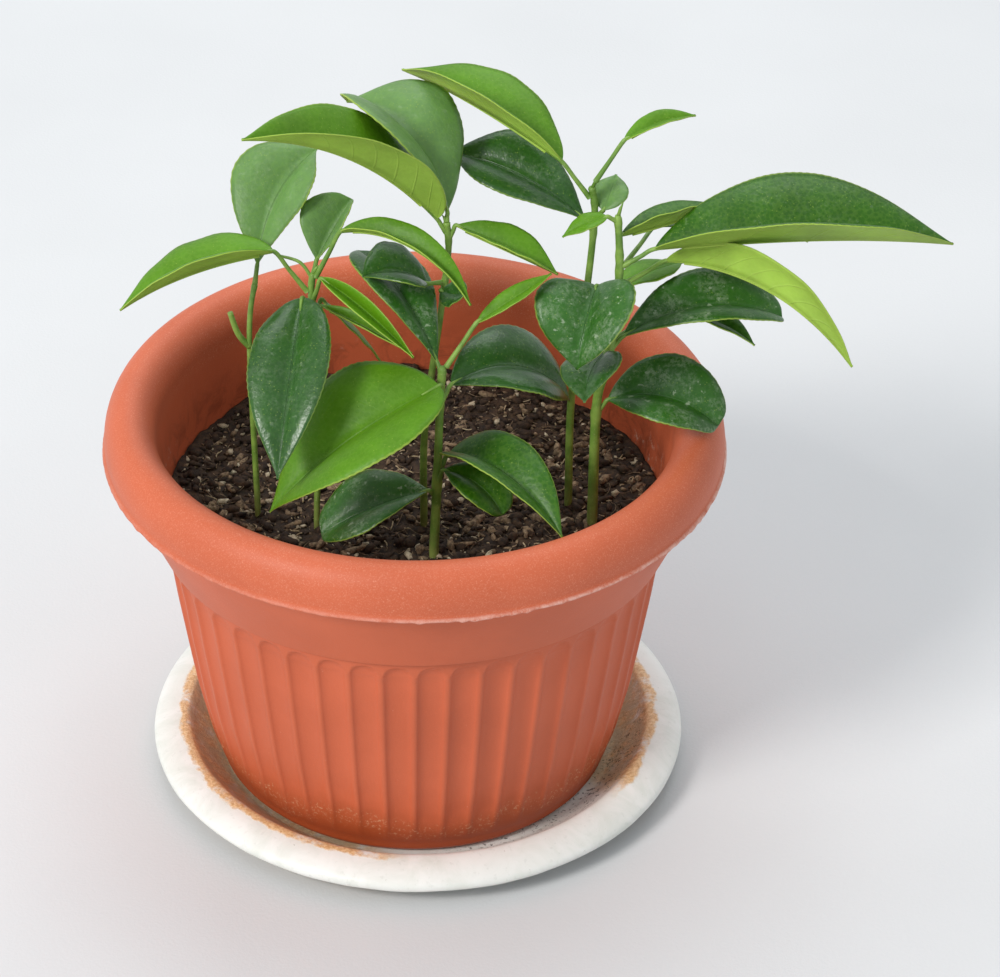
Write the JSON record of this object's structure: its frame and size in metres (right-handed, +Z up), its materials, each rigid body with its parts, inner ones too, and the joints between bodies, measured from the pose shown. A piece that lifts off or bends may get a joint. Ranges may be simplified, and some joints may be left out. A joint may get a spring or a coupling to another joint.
{
  "type": "potted citrus plant",
  "caption": "Young kumquat plants with glossy folded leaves growing from peat soil in a fluted terracotta-coloured plastic pot on a white saucer.",
  "frame": {"origin": "centre of the saucer's flat underside, on the surface the object stands on", "axes": "+Z up; +X to the right and -Y towards the viewer, seen from the side where the longest leaf points right"},
  "size_m": [0.242, 0.1814, 0.2266],
  "materials": {
    "pot_plastic": "matte",
    "saucer_plastic": "satin",
    "soil": "matte",
    "stem": "satin",
    "leaf": "satin"
  },
  "bodies": {
    "root": {"saucer": "saucer_plastic", "pot": "pot_plastic", "soil": "soil", "stem_a": "stem", "stem_b": "stem", "stem_c": "stem", "stem_d": "stem", "stem_e": "stem", "stem_f": "stem", "stub_a": "stem", "twig_b": "stem", "leaf_a1": "leaf", "leaf_b1": "leaf", "leaf_b3": "leaf", "leaf_b4": "leaf", "leaf_b5": "leaf", "leaf_b6": "leaf", "leaf_b7": "leaf", "leaf_b8": "leaf", "leaf_c1": "leaf", "leaf_c2": "leaf", "leaf_c3": "leaf", "leaf_c4": "leaf", "leaf_c5": "leaf", "leaf_c6": "leaf", "leaf_c6b": "leaf", "leaf_c7": "leaf", "leaf_c8": "leaf", "leaf_d1": "leaf", "leaf_d2": "leaf", "leaf_d3": "leaf", "leaf_e1": "leaf", "leaf_e10": "leaf", "leaf_e11": "leaf", "leaf_e2": "leaf", "leaf_e3": "leaf", "leaf_e4": "leaf", "leaf_e5": "leaf", "leaf_e6": "leaf", "leaf_e7": "leaf", "leaf_e8": "leaf", "leaf_e9": "leaf", "leaf_f1": "leaf", "leaf_f2": "leaf", "leaf_f3": "leaf", "leaf_f4": "leaf"}
  },
  "joints": []
}
